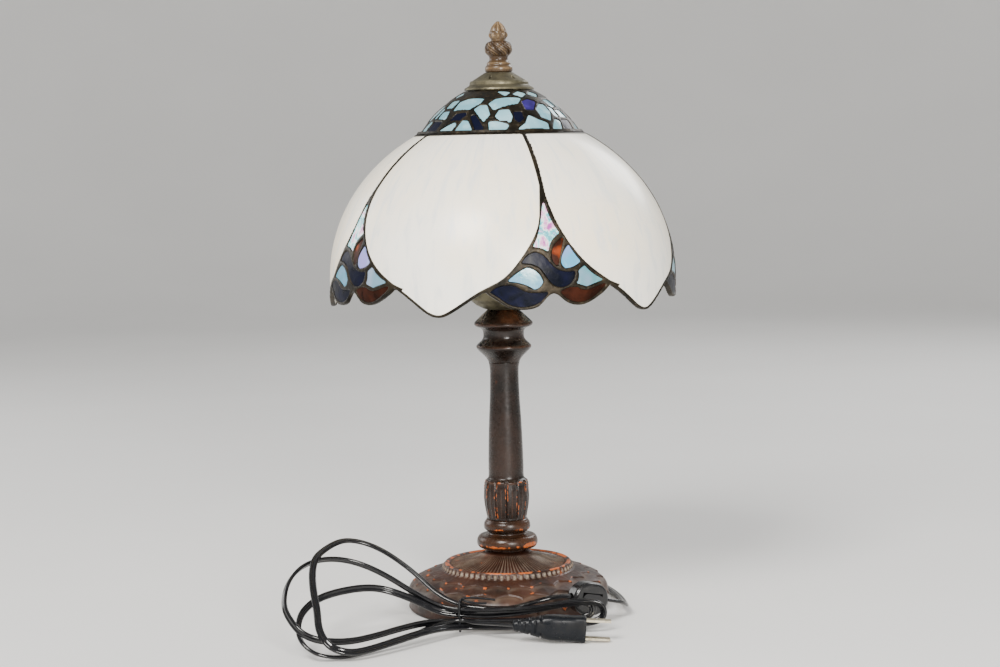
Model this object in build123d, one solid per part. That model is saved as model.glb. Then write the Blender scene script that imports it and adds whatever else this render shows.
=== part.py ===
from build123d import *
import math
import os

# Table lamp with a leaded-glass dome shade. Millimetres, +Z up, origin at the centre of the base's
# underside, -Y to the viewer. Azimuths are measured from -Y towards +X.

# ---- driving dimensions -------------------------------------------------------------------------
PETALS = 5
PETAL_AZIMUTH = -19.5          # centre of the first petal
CLUSTER_AZIMUTH = 16.5         # centre of the first corner cluster
CROWN_REPEATS = 3              # the crown's pattern repeats every third of a turn

DOME_RADIUS = 127.2            # lead surface of the dome
DOME_SPRING_Z = 245.6          # where the dome turns into a short straight skirt
DOME_LOW_ARC = 113.5           # radius of the dome's lower arc
DOME_HIGH_ARC = 134.0          # radius of its flatter upper arc
DOME_BREAK = 40.0              # angle at which one arc runs into the other
DOME_TOP_ANGLE = 62.0          # angle at which the dome stops, at the crown's ring
SKIRT_Z = 222.0
LEAD_THICK = 3.8
GLASS_INSET = 0.6              # the lead stands proud of the glass by this much
GLASS_THICK = 2.6
EDGE_LEAD = 2.0                # lead bound round the shade's lower edge
CROWN_LEAD_THICK = 3.2
CROWN_GROW = 0.65               # each crown glass reaches this far past its listed corners
MERIDIAN_LEAD = 2.7            # lead between two petals above a cluster
MERIDIAN_LEAN = 1.3            # that lead stands this many degrees to one side of the cluster

BASE_RADIUS = 75.0
FELT_THICK = 1.2
ROD_RADIUS = 5.0
ROD_BORE = 5.3
ROD_BOTTOM_Z = 14.0
ROD_TOP_Z = 238.0
BASE_TOP_Z = 42.0
KNOP_TOP_Z = 65.5
SHAFT_TOP_Z = 182.5
CAPITAL_TOP_Z = 221.6

SADDLE_Z = 229.0
HARP_FOOT_X = 19.75
HARP_FOOT_Z = 249.0
HARP_WIRE_R = 1.6
STUD_RADIUS = 3.2
STUD_SHOULDER_Z = 392.7
STUD_TOP_Z = 412.0
STUD_FIT = 0.06                # running fit of the shade's cap and the finial on the stud
CAP_TOP_Z = 394.4
FINIAL_Z = 394.7
FINIAL_TOP_Z = 431.7

SLEEVE_BORE = 8.6
BULB_CAP_R = 8.3
BULB_CONTACT_Z = 260.8
BULB_R = 17.5
BULB_CENTRE_Z = 306.0

CORD_WIDTH = 5.2
GROMMET_AZIMUTH = 165.0
GROMMET_Z = 9.0
PLUG_CENTRE = (39.0, -120.0, 10.4)
PLUG_DIP = 4.0                 # the plug lies with its blades tipped down
BLADE_PITCH = 12.7
SWITCH_CENTRE = (56.5, -67.0, 19.0)
SWITCH_TURN = 30.0             # turn of the switch's long axis from +X
SWITCH_DIP = 12.0              # and its tip below level at the right end
SWITCH_SIZE = (29.0, 12.0, 23.0)
ROCKER_AXIS_Y = -4.5           # the rocker's pivot, from the switch's middle
ROCKER_TILT = 7.0              # the rocker lies this far over in either position

os.makedirs("parts", exist_ok=True)


# ---- helpers ------------------------------------------------------------------------------------
def save(shape, name):
    """Write one node. A list of shapes becomes one node of separate solids."""
    if isinstance(shape, (list, tuple)):
        shape = Compound(children=[solid for piece in shape for solid in piece.solids()])
    export_step(shape, f"parts/{name}.step")


def turned(profile):
    """A lathe-turned solid from a closed (radius, height) polygon."""
    return revolve(Plane.XZ * make_face(Polyline(*profile, close=True)), Axis.Z)


def tube(outer, inner, low, high):
    """A straight tube on the lamp's axis."""
    return turned([(inner, low), (outer, low), (outer, high), (inner, high)])


def outline(*sides):
    """A closed face from sides: two points make a line, more make a smooth curve."""
    return make_face([Line(*side) if len(side) == 2 else Spline(*side) for side in sides])


def about_axis(shape, azimuth):
    """Turn a shape made facing the viewer round to an azimuth."""
    return Rot(0, 0, azimuth) * shape


def through_wall(face):
    """Push a (tangential, height) face out through the front of the shade's wall."""
    return extrude(Plane.XZ.offset(40) * face, 110)


def polar(radius, azimuth):
    """A plan point from its radius and azimuth."""
    angle = math.radians(azimuth)
    return (radius * math.sin(angle), -radius * math.cos(angle))


def hexagon(across_flats, bore, low, high):
    """A hexagonal nut on the lamp's axis."""
    blank = extrude(Pos(0, 0, low) * RegularPolygon(across_flats / 2, 6, major_radius=False), high - low)
    return blank - Pos(0, 0, (low + high) / 2) * Cylinder(bore, high - low)


# ---- base and column ----------------------------------------------------------------------------
def base_casting():
    """Hollow cast base: fluted cone, bead ring, leaf shoulder and rolled edge."""
    body = turned([
        (ROD_BORE, BASE_TOP_Z), (16.2, 41.0), (24.0, 37.6), (34.0, 34.6), (44.6, 32.4), (45.8, 33.4),
        (47.6, 33.4), (49.2, 31.6), (50.4, 28.6), (57.0, 26.4), (64.8, 23.4), (70.0, 20.6),
        (73.2, 17.0), (74.7, 12.5), (BASE_RADIUS, 8.0), (BASE_RADIUS, FELT_THICK),
        (71.0, FELT_THICK), (70.4, 11.0), (66.0, 17.0), (48.0, 24.0), (20.0, 30.5), (ROD_BORE, 30.5),
    ])
    hole = about_axis(Pos(0, -73, GROMMET_Z) * Rot(90, 0, 0) * Cylinder(4.2, 12), GROMMET_AZIMUTH)
    return body - hole


def grommet():
    """Flanged bush where the lead leaves the base."""
    bore = Pos(0, 0, 75) * Cylinder(CORD_WIDTH / 2 + 0.2, 30)
    bush = Pos(0, 0, 73.5) * Cylinder(4.2, 8) + Pos(0, 0, 76.9) * Cylinder(5.8, 2.0) - bore
    return about_axis(Pos(0, 0, GROMMET_Z) * Rot(90, 0, 0) * bush, GROMMET_AZIMUTH)


def knop():
    """Turned double ring between base and shaft."""
    return turned([
        (ROD_BORE, BASE_TOP_Z), (14.8, BASE_TOP_Z), (14.8, 43.6), (20.6, 44.4), (22.3, 46.2),
        (22.7, 48.8), (22.0, 51.4), (20.2, 53.4), (14.4, 54.2), (13.7, 55.4), (15.4, 56.6),
        (17.0, 58.2), (17.4, 60.8), (16.8, 63.4), (15.4, KNOP_TOP_Z), (ROD_BORE, KNOP_TOP_Z),
    ])


def shaft():
    """Tapered shaft with a swelling leaf cuff at its foot."""
    return turned([
        (ROD_BORE, KNOP_TOP_Z), (14.5, KNOP_TOP_Z), (15.4, 70.0), (16.5, 77.0), (16.85, 83.0),
        (16.5, 89.0), (15.9, 93.4), (13.6, 95.0), (13.1, 97.0), (13.2, 104.6), (12.8, 120.0),
        (12.1, 139.0), (11.2, 155.0), (10.7, 175.5), (11.6, SHAFT_TOP_Z), (ROD_BORE, SHAFT_TOP_Z),
    ])


def capital():
    """Bell, lower flange, neck, rim and coned top."""
    return turned([
        (ROD_BORE, SHAFT_TOP_Z), (11.6, SHAFT_TOP_Z), (13.6, 186.4), (17.0, 189.8), (20.0, 192.6),
        (20.5, 194.0), (19.6, 195.4), (15.6, 199.4), (15.0, 202.0), (15.4, 206.0), (17.0, 207.8),
        (21.4, 209.4), (21.8, 210.8), (21.2, 212.2), (12.2, 221.0), (11.0, CAPITAL_TOP_Z),
        (ROD_BORE, CAPITAL_TOP_Z),
    ])


def socket_cup():
    """Shallow spun brass bowl on top of the capital."""
    return turned([
        (ROD_BORE, 221.6), (12.0, 221.6), (14.5, 222.3), (20.0, 225.0), (24.4, 229.0), (26.6, 234.0),
        (27.2, 239.0), (26.2, 239.0), (25.6, 234.4), (23.5, 229.7), (19.4, 226.0), (14.2, 223.4),
        (12.0, 222.8), (ROD_BORE, 222.8),
    ])


# ---- lamp holder, harp and bulb -----------------------------------------------------------------
def harp_saddle():
    """Bent strip that the harp's feet stand on."""
    floor = Box(2 * HARP_FOOT_X + 1.5, 12, 1.5)
    floor -= Cylinder(ROD_BORE, 3)
    body = Pos(0, 0, SADDLE_Z + 0.75) * floor
    for side in (-1, 1):
        body += Pos(side * HARP_FOOT_X, 0, SADDLE_Z + 7.5) * Box(1.5, 12, 15)
        body += Pos(side * HARP_FOOT_X, 0, (SADDLE_Z + HARP_FOOT_Z) / 2 + 4) * Box(1.5, 3.2, 12)
    return body


def harp():
    """Bent wire loop from foot to foot over the bulb."""
    half = [(HARP_FOOT_X, 0, HARP_FOOT_Z), (HARP_FOOT_X, 0, 272), (43, 0, 300), (43, 0, 346),
            (27, 0, 372), (8, 0, 386), (0, 0, 386.4)]
    points = half + [(-x, y, z) for x, y, z in reversed(half[:-1])]
    path = FilletPolyline(*points, radius=[12, 12, 16, 16, 8, 40, 8, 16, 16, 12, 12])
    return sweep(Plane(path @ 0, z_dir=path % 0) * Circle(HARP_WIRE_R), path)


def harp_stud():
    """Shouldered stud on the harp's crown; cap and finial go over it."""
    body = Pos(0, 0, 390.35) * Cylinder(7.0, 4.7) + Pos(0, 0, 402) * Cylinder(STUD_RADIUS, 20)
    return body


def ferrule(side):
    """Sleeve that locks a harp foot to the saddle."""
    return Pos(side * HARP_FOOT_X, 0, 0) * tube(3.3, 2.3, 244.3, 254.3)


def socket_cap():
    """Turned lower half of the lamp holder."""
    return turned([
        (ROD_BORE, 234.0), (9.0, 234.0), (12.8, 236.6), (14.2, 240.0), (14.2, 247.0), (13.2, 247.0),
        (13.2, 240.8), (12.0, 238.0), (8.6, 235.0), (ROD_BORE, 235.0),
    ])


def insulator():
    """Porcelain body with a well for the screw sleeve."""
    return turned([(0, 242), (12.3, 242), (12.3, 281), (9.3, 281), (9.3, 258), (0, 258)])


def bulb_glass():
    """Small blown envelope."""
    outer = Pos(0, 0, BULB_CENTRE_Z) * Sphere(BULB_R) + Pos(0, 0, 286) * Cylinder(8.0, 12)
    inner = Pos(0, 0, BULB_CENTRE_Z) * Sphere(BULB_R - 0.8) + Pos(0, 0, 286.5) * Cylinder(7.2, 11)
    return outer - inner


def bulb_mount():
    """Glass stem, two lead wires and the filament across them."""
    stem = Pos(0, 0, 284.5) * Cylinder(3.0, 7)
    for side in (-1, 1):
        stem += Pos(side * 2.2, 0, 296) * Cylinder(0.4, 20)
    return stem + Pos(0, 0, 305.6) * Box(5.2, 0.6, 0.6)


# ---- finial and heat cap ------------------------------------------------------------------------
def finial():
    """Cast bud finial with a blind tapped hole."""
    body = turned([
        (0, FINIAL_Z), (9.8, FINIAL_Z), (10.1, 396.6), (9.8, 398.4), (8.9, 399.6), (8.8, 401.0),
        (7.6, 402.2), (6.8, 403.6), (6.9, 405.4), (8.2, 407.0), (9.8, 409.2), (10.1, 411.4),
        (9.6, 414.2), (8.0, 416.6), (5.6, 417.6), (5.2, 418.6), (6.6, 420.4), (7.0, 423.0), (6.0, 426.4),
        (3.6, 430.0), (1.2, FINIAL_TOP_Z), (0, FINIAL_TOP_Z),
    ])
    hole_depth = STUD_TOP_Z + 0.5 - FINIAL_Z
    return body - Pos(0, 0, FINIAL_Z + hole_depth / 2) * Cylinder(STUD_RADIUS + STUD_FIT, hole_depth)


def heat_cap():
    """Spun vented cap soldered over the crown's mouth."""
    bore = STUD_RADIUS + STUD_FIT
    body = turned([
        (bore, CAP_TOP_Z), (10.4, CAP_TOP_Z), (19.8, 388.5), (20.8, 388.3), (21.5, 387.2),
        (21.6, 385.6), (22.5, 384.7), (25.2, 383.2), (25.6, 381.9), (24.2, 382.4), (21.8, 383.9),
        (20.3, 385.0), (20.2, 386.8), (19.0, 387.3), (10.0, 393.0), (bore, 393.0),
    ])
    vent = extrude(Pos(0, -16.2, 391) * Rot(0, 0, 90) * SlotOverall(4.4, 1.8), 4, both=True)
    return body - [about_axis(vent, -22 + 60 * n) for n in range(6)]


# ---- leaded-glass dome --------------------------------------------------------------------------
def dome_arcs(inset):
    """The dome's two tangent arcs at a depth below the lead's surface."""
    low = CenterArc((DOME_RADIUS - DOME_LOW_ARC, DOME_SPRING_Z), DOME_LOW_ARC - inset, 0, DOME_BREAK)
    reach = DOME_HIGH_ARC - DOME_LOW_ARC
    turn = math.radians(DOME_BREAK)
    centre = (DOME_RADIUS - DOME_LOW_ARC - reach * math.cos(turn), DOME_SPRING_Z - reach * math.sin(turn))
    high = CenterArc(centre, DOME_HIGH_ARC - inset, DOME_BREAK, DOME_TOP_ANGLE - DOME_BREAK)
    return low, high


def dome_shell(depth, thick):
    """Section of a shell of the dome and its short straight skirt."""
    out_low, out_high = dome_arcs(depth)
    in_low, in_high = dome_arcs(depth + thick)
    foot_out = (DOME_RADIUS - depth, SKIRT_Z)
    foot_in = (DOME_RADIUS - depth - thick, SKIRT_Z)
    return Plane.XZ * make_face([
        Line(foot_out, out_low @ 0), out_low, out_high, Line(out_high @ 1, in_high @ 1),
        in_high, in_low, Line(in_low @ 0, foot_in), Line(foot_in, foot_out),
    ])


def petal_outline():
    """One petal glass, seen square on: tangential distance and height."""
    top_right = (36.2, 349.3)
    top_left = (-37.2, 349.3)
    right = [top_right, (47.2, 335.4), (56.2, 319.0), (60.4, 302.0), (61.8, 288.0), (60.0, 279.0),
             (56.0, 270.2), (50.0, 260.5), (42.0, 251.8), (29.0, 244.6), (16.0, 236.6), (5.0, 229.8),
             (-1.5, 227.4), (-8.0, 228.8)]
    left = [(-8.0, 228.8), (-15.5, 233.6), (-27.6, 242.2), (-37.8, 248.6), (-45.0, 253.4),
            (-52.2, 259.4), (-60.0, 269.6), (-65.0, 282.4), (-66.2, 295.0), (-64.2, 307.0),
            (-59.0, 319.0), (-48.8, 335.4), top_left]
    return outline(right + left[1:], [top_left, top_right])


# The eight glasses of a corner cluster, seen square on. Every list is one side of the piece.
def light_kite():
    return outline([(-3.0, 304.1), (-1.6, 295.5), (1.4, 287.0), (4.8, 281.6)],
                   [(4.8, 281.6), (-2.4, 275.2), (-4.4, 268.9)],
                   [(-4.4, 268.9), (-8.7, 271.6), (-15.2, 272.4)],
                   [(-15.2, 272.4), (-10.9, 279.6), (-6.8, 292.0), (-3.0, 304.1)])


def brown_feather():
    return outline([(7.6, 278.6), (-0.4, 272.6), (-2.2, 267.2), (0.2, 260.4)],
                   [(0.2, 260.4), (2.0, 260.0)],
                   [(2.0, 260.0), (4.0, 268.0), (7.6, 278.6)])


def light_teardrop():
    return outline([(10.4, 273.6), (6.0, 268.0), (4.4, 262.0), (7.0, 257.9)],
                   [(7.0, 257.9), (13.0, 259.0), (18.4, 262.2)],
                   [(18.4, 262.2), (14.2, 267.4), (10.4, 273.6)])


def blue_s_leaf():
    return outline([(-23.2, 261.8), (-18.1, 267.4), (-13.5, 268.9), (-9.2, 267.4), (-5.0, 263.2),
                    (0.6, 257.6), (6.6, 255.5), (13.8, 255.9)],
                   [(13.8, 255.9), (13.0, 250.8), (8.5, 246.4), (0.8, 245.6), (-6.4, 252.2),
                    (-11.2, 258.8), (-17.6, 261.6), (-23.2, 261.8)])


def light_left_leaf():
    return outline([(-33.2, 249.9), (-27.0, 255.0), (-20.2, 258.9)],
                   [(-20.2, 258.9), (-13.6, 256.2), (-9.2, 249.2)],
                   [(-9.2, 249.2), (-11.4, 245.8), (-15.1, 244.2)],
                   [(-15.1, 244.2), (-23.1, 248.2), (-33.2, 249.9)])


def light_triangle():
    return outline([(21.2, 259.2), (28.4, 252.8), (36.0, 249.0)],
                   [(36.0, 249.0), (29.6, 247.2), (22.5, 245.0)],
                   [(22.5, 245.0), (15.0, 247.4)],
                   [(15.0, 247.4), (16.9, 252.0), (16.6, 256.0)],
                   [(16.6, 256.0), (21.2, 259.2)])


def blue_crescent():
    return outline([(-44.4, 242.8), (-36.5, 246.8), (-28.0, 246.4), (-21.0, 242.6), (-14.4, 241.6),
                    (-5.2, 242.4)],
                   [(-5.2, 242.4), (-12.6, 235.0), (-22.4, 232.6), (-32.1, 234.6), (-38.1, 238.8),
                    (-44.4, 242.8)])


def brown_crescent():
    return outline([(3.0, 242.3), (8.5, 244.4), (15.6, 244.6)],
                   [(15.6, 244.6), (22.5, 242.6), (31.0, 244.9), (38.6, 246.4)],
                   [(38.6, 246.4), (30.2, 239.4), (17.6, 234.6), (8.4, 237.0), (3.0, 242.3)])


CLUSTER_GLASS = {
    "glass_light_kite": light_kite,
    "glass_brown_feather": brown_feather,
    "glass_light_teardrop": light_teardrop,
    "glass_blue_s_leaf": blue_s_leaf,
    "glass_light_left_leaf": light_left_leaf,
    "glass_light_triangle": light_triangle,
    "glass_blue_crescent": blue_crescent,
    "glass_brown_crescent": brown_crescent,
}


def cluster_field():
    """The whole corner cluster with its bound lower edge."""
    return outline([(-49.0, 246.6), (-45.4, 241.2), (-39.2, 236.8), (-33.0, 232.6), (-22.4, 230.4),
                    (-11.6, 233.0), (-4.4, 239.9), (-1.0, 240.9), (2.0, 239.6), (7.6, 235.0),
                    (17.6, 232.4), (31.2, 237.4), (40.4, 244.4), (43.4, 249.6)],
                   [(43.4, 249.6), (20.0, 290.0)],
                   [(20.0, 290.0), (-2.0, 316.0)],
                   [(-2.0, 316.0), (-26.0, 290.0)],
                   [(-26.0, 290.0), (-49.0, 246.6)])


def cluster_zone():
    """The corner between two petals, up to the petals' own edges."""
    return outline([(-3.4, 309.0), (-6.2, 300.6), (-9.1, 288.1), (-13.3, 279.2), (-19.4, 270.3),
                    (-26.9, 260.5), (-35.8, 251.4), (-47.0, 245.4)],
                   [(-47.0, 245.4), (50.0, 244.8)],
                   [(50.0, 244.8), (40.6, 248.4), (32.4, 252.8), (23.8, 259.0), (14.2, 269.4),
                    (5.7, 281.7), (0.2, 295.1), (-2.2, 309.0)],
                   [(-2.2, 309.0), (-3.4, 309.0)])


def petal_cutter():
    """Everything that one petal's glass fills: its outline, between two meridian leads."""
    half = 180 / PETALS
    inside = MERIDIAN_LEAD / 2 / math.sin(math.radians(half))
    right = Vector(*polar(200, half - MERIDIAN_LEAN))
    left = Vector(*polar(200, -half - MERIDIAN_LEAN))
    start = Vector(*polar(inside, -MERIDIAN_LEAN))
    wedge = extrude(make_face(Polyline(start, start + right, start + left, close=True)), 400)
    zone = through_wall(cluster_zone())
    return (through_wall(petal_outline()) & wedge) - [about_axis(zone, half), about_axis(zone, -half)]


def petal_field():
    """The petal with its bound lower edge, as one smooth curve."""
    rim = offset(petal_outline(), EDGE_LEAD).face().outer_wire()
    return make_face(Spline([rim.position_at(n / 72) for n in range(72)], periodic=True))


def dome_lead(cutters):
    """One fifth of the dome's lead: the shell, cut to the scalloped edge, less every glass."""
    half = 180 / PETALS
    face = dome_shell(0, LEAD_THICK)
    sector = Rot(0, 0, CLUSTER_AZIMUTH - 90 - half) * revolve(face, Axis.Z, 360 / PETALS)
    petal = through_wall(petal_field())
    keep = about_axis(through_wall(cluster_field()), CLUSTER_AZIMUTH)
    keep += about_axis(petal, CLUSTER_AZIMUTH - half)
    keep += about_axis(petal, CLUSTER_AZIMUTH + half)
    keep += Pos(0, 0, 330) * Cylinder(DOME_RADIUS, 60)
    return (sector & keep) - cutters


def build_dome():
    """Petals, cluster glasses and the lead that holds them."""
    step = 360 / PETALS
    glass = revolve(dome_shell(GLASS_INSET, GLASS_THICK), Axis.Z)
    petal_cut = petal_cutter()
    petal = about_axis(petal_cut, PETAL_AZIMUTH) & glass
    for n in range(PETALS):
        save(about_axis(petal, n * step), f"petal_glass_{n + 1}")
    cutters = [about_axis(petal_cut, CLUSTER_AZIMUTH - step / 2),
               about_axis(petal_cut, CLUSTER_AZIMUTH + step / 2)]
    for name, face in CLUSTER_GLASS.items():
        cutter = about_axis(through_wall(face()), CLUSTER_AZIMUTH)
        cutters.append(cutter)
        piece = cutter & glass
        save([about_axis(piece, n * step) for n in range(PETALS)], name)
    lead = dome_lead(cutters)
    save(lead.fuse(*[about_axis(lead, n * step) for n in range(1, PETALS)]), "lead_came_dome")


# ---- leaded-glass crown -------------------------------------------------------------------------
def crown_arc(depth):
    """The crown's domed section at a depth below its lead's surface."""
    return ThreePointArc((24.5 - depth * 0.5, 381.6 - depth * 0.9),
                         (43.0 - depth * 0.67, 369.3 - depth * 0.75),
                         (58.6 - depth * 0.8, 351.2 - depth * 0.6))


def crown_shell(inset, thick):
    """Shell of the domed crown between the dome's ring and the heat cap."""
    outer = crown_arc(inset)
    inner = crown_arc(inset + thick)
    brow = Line(outer @ 0, inner @ 0)
    foot = Line(outer @ 1, inner @ 1)
    return revolve(Plane.XZ * make_face([outer, inner, brow, foot]), Axis.Z)


# The crown's pattern over one third of a turn, in plan: (radius, azimuth) corner points.
CROWN_PATTERN = {
    "crown_glass_light_upper": [
        [(27.4, -1), (28.4, 14), (32.0, 7)],
        [(30.6, 20), (27.6, 29), (30.0, 37), (33.6, 28)],
        [(30.6, 43), (28.0, 51), (30.6, 59), (33.6, 51)],
        [(44.6, -46), (38.4, -47), (35.6, -38), (35.8, -19), (39.6, -21), (44.2, -29)],
        [(40.2, -10), (36.4, -4), (35.6, 24), (40.0, 18), (41.6, 6), (45.0, -5)],
    ],
    "crown_glass_light_middle": [
        [(44.6, -23), (42.0, -19), (42.0, -13), (48.6, -9), (52.2, -12.6), (49.2, -16.6)],
        [(49.8, -3), (46.2, 0), (45.8, 8), (50.0, 9.6), (52.8, 8), (51.6, 0)],
        [(45.4, 36), (41.4, 43.5), (42.0, 48.6), (47.0, 49), (52.2, 43.5), (50.4, 36.5)],
        [(37.6, 57), (37.0, 68), (42.6, 68), (42.8, 59)],
        [(43.6, 52.8), (44.8, 56.5), (50.2, 55.5), (49.8, 52.2)],
        [(46.6, 60), (46.2, 68), (50.6, 70), (50.0, 60)],
    ],
    "crown_glass_light_lower": [
        [(57.6, -48), (55.6, -43), (53.6, -37), (54.6, -35.5), (57.4, -37.5)],
        [(57.2, -33), (52.6, -30), (52.8, -26), (57.4, -21)],
        [(53.6, -8), (53.4, -3), (55.2, 6), (56.6, 4), (57.2, -7)],
        [(57.2, 14), (54.6, 20), (50.0, 24.5), (52.6, 31), (54.6, 38), (57.2, 37)],
        [(52.6, 49), (53.4, 53), (57.2, 50), (57.0, 42.5)],
    ],
    "crown_glass_blue": [
        [(51.4, -42), (48.2, -40), (47.4, -31), (49.0, -30), (51.4, -34)],
        [(49.6, -24), (49.4, -21), (56.6, -12.5), (57.2, -17)],
        [(47.6, 12.5), (47.4, 18.6), (51.2, 18.6), (53.0, 14.8), (51.6, 12.4)],
        [(39.0, 25), (37.0, 33), (38.8, 40), (45.6, 31), (45.0, 25)],
        [(53.0, 57), (53.2, 68), (56.8, 66), (57.2, 55)],
    ],
}


def crown_cutter(corners):
    """A glass outline, grown so that its corners are round, pushed up through the crown."""
    face = make_face(Polyline(*[polar(*corner) for corner in corners], close=True))
    return extrude(Pos(0, 0, 335) * offset(face, CROWN_GROW).face(), 60)


def build_crown():
    """Crown glasses, grouped by row and colour, and the crown's lead."""
    step = 360 / CROWN_REPEATS
    glass = crown_shell(0.5, 2.2)
    lead = crown_shell(0, CROWN_LEAD_THICK)
    for name, pieces in CROWN_PATTERN.items():
        solids = []
        for corners in pieces:
            cutter = crown_cutter(corners)
            piece = cutter & glass
            for n in range(CROWN_REPEATS):
                solids.append(about_axis(piece, n * step))
                lead -= about_axis(cutter, n * step)
        save(solids, name)
    save(lead, "lead_came_crown")
    save(crown_ring(), "crown_ring")


def crown_ring():
    """Heavy ring where crown and dome meet; it fills the gap between them."""
    dome_out = dome_arcs(0)[1] @ 1
    dome_in = dome_arcs(LEAD_THICK)[1] @ 1
    crown_out = crown_arc(0) @ 1
    crown_in = crown_arc(CROWN_LEAD_THICK) @ 1
    rise = (crown_out + dome_out) / 2 + Vector(0.2, 1.5)
    return turned([tuple(corner)[:2] for corner in (crown_out, rise, dome_out, dome_in, crown_in)])


# ---- lead, plug and switch ----------------------------------------------------------------------
def corner_radii(points):
    """Each corner's arc: 0.45 of its shorter run over the tangent of half the turn."""
    radii = []
    for before, here, after in zip(points, points[1:], points[2:]):
        run_in = Vector(*here) - Vector(*before)
        run_out = Vector(*after) - Vector(*here)
        half_turn = math.radians(run_in.get_angle(run_out) / 2)
        radii.append(0.45 * min(run_in.length, run_out.length) / math.tan(half_turn))
    return radii


def cord(points, name):
    """A round tube along a route of straight runs and tangent arcs."""
    radii = corner_radii(points)
    path = FilletPolyline(*points, radius=radii)
    body = sweep(Plane(path @ 0, z_dir=path % 0) * Circle(CORD_WIDTH / 2), path)
    section = math.pi * (CORD_WIDTH / 2) ** 2
    print(name, "radii", [round(r) for r in radii], "length", round(path.length),
          "volume ratio", round(body.volume / (section * path.length), 4))
    save(body, name)


LEAD_IN_ROUTE = [
    (19.2, 71.6, 9.0), (22.3, 83.3, 8.8), (29.3, 90.7, 8.0), (38.9, 93.8, 6.8), (48.9, 92.0, 5.4),
    (56.8, 85.6, 4.2), (63.4, 73.2, 3.4), (71.6, 52.8, 2.9), (79.0, 30.0, 2.8), (83.6, 8.5, 2.8),
    (85.6, -12.0, 3.0), (85.5, -31.0, 5.2), (84.6, -41.0, 8.0), (81.3, -49.4, 11.6), (76.6, -55.0, 13.8),
    (70.2, -59.1, 15.7),
]
SWITCH_LINK_ROUTE = [
    (42.9, -74.8, 22.3), (35.6, -79.0, 23.4), (25.8, -82.4, 22.4), (12.5, -83.6, 19.0), (2.0, -83.8, 15.4),
]
TIE_CENTRE = (-34.0, -91.0, 13.8)
PLUG_TAIL_ROUTE = [
    (-30.0, -98.8, 8.6), (-21.5, -102.2, 9.6), (-14.0, -108.4, 11.4), (-6.5, -115.2, 12.9),
    (1.6, -120.0, 13.0),
]


def hank():
    """Outer shape of the tied hank: a leaning teardrop of loops and the bundle beside the base."""
    along = Vector(-0.941, -0.217, 0.26)
    plane = Plane(origin=(-34, -90.5, 13), x_dir=along, z_dir=Vector(-0.335, 0.474, -0.815))
    rim = [(-2, -7), (30, -27), (62, -51), (90, -62), (110, -60), (124, -38), (128, -18), (124, 4),
           (110, 28), (90, 48), (70, 52), (50, 44), (22, 22), (-2, 8)]
    gap = [(34, -2), (62, -26), (90, -38), (104, -30), (108, -12), (98, 14), (80, 26), (58, 20)]
    face = make_face([Spline(*rim), Line(rim[-1], rim[0])])
    face -= make_face([Spline(*gap, periodic=True)])
    loops = extrude(plane * face, 5, both=True)
    loops &= Pos(-80, -100, 100) * Box(220, 200, 199.8)
    side = [(-46, 3), (-8, 3), (30, 3), (58, 4), (67, 8), (70, 14), (67, 22), (58, 26), (30, 24),
            (-8, 20), (-30, 24), (-46, 24)]
    bundle = extrude(Plane.XZ.offset(86.5) * make_face(Polyline(*side, close=True)), 9)
    waist = Pos(*TIE_CENTRE) * (Box(3.4, 80, 80) - Box(3.4, 9.2, 22.4))
    return (loops + bundle - waist).solids().sort_by(SortBy.VOLUME)[-1]


def twist_tie():
    """Plastic-coated wire round the bundle, with two free ends."""
    ring = Pos(*TIE_CENTRE) * (Box(3, 11.4, 24.6) - Box(3.1, 9.4, 22.8))
    ends = Pos(-21, -88.5, 25.4) * Rot(0, 4, 4) * Box(27, 1.6, 1.2)
    ends += Pos(-24, -92.5, 25.0) * Rot(0, 8, -4) * Box(22, 1.6, 1.2)
    return ring + ends


def plug_place(shape):
    """Put a plug piece, made level along X, where the plug lies."""
    return Pos(*PLUG_CENTRE) * Rot(0, PLUG_DIP, 0) * shape


def plug_body():
    """Moulded plug with a ribbed tail."""
    grip = fillet(Box(26, 14, 18.4).edges().filter_by(Axis.X), 4.5)
    body = Pos(0.6, 0, 0) * grip + Pos(-23.0, 0, 0) * Rot(0, 90, 0) * Cylinder(3.6, 26)
    for n in range(5):
        body += Pos(-15.2 - 4.4 * n, 0, 0) * Rot(0, 90, 0) * Cylinder(6.4 - 0.5 * n, 3.0)
    return plug_place(body)


def plug_blades():
    """Two flat blades, one above the other."""
    return [plug_place(Pos(22.1, 0, side * BLADE_PITCH / 2) * Box(17, 6.3, 1.5)) for side in (-1, 1)]


def switch_place(shape):
    """Put a switch piece, made lying along X, where the switch stands."""
    return Pos(*SWITCH_CENTRE) * Rot(0, 0, SWITCH_TURN) * Rot(0, SWITCH_DIP, 0) * shape


def build_switch():
    """Two half shells, a rocker in the front one, and the screw that joins them."""
    length, thick, height = SWITCH_SIZE
    outer = extrude(Plane.XZ * SlotOverall(length, height), thick / 2, both=True)
    outer = fillet(outer.edges().filter_by(GeomType.LINE, reverse=True), 2.5)
    hollow = extrude(Plane.XZ * SlotOverall(length - 6, height - 6), thick / 2 - 2, both=True)
    ports = Rot(0, 90, 0) * Cylinder(CORD_WIDTH / 2, length + 10)
    shell = outer - hollow - ports
    window = Pos(0, -thick / 2, 0) * Box(16.6, 10, 8.6)
    front = shell & (Pos(0, -thick / 2, 0) * Box(80, thick, 60))
    rear = shell & (Pos(0, thick / 2, 0) * Box(80, thick, 60))
    save(switch_place(front - window), "switch_front_shell")
    save(switch_place(rear), "switch_rear_shell")
    rocker = Rot(90, 0, 0) * extrude(SlotOverall(15.4, 7.6), 3.2, both=True)
    seat = Pos(0, ROCKER_AXIS_Y, 0) * Rot(0, 0, -ROCKER_TILT)
    save(switch_place(seat * rocker), "switch_rocker")


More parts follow.
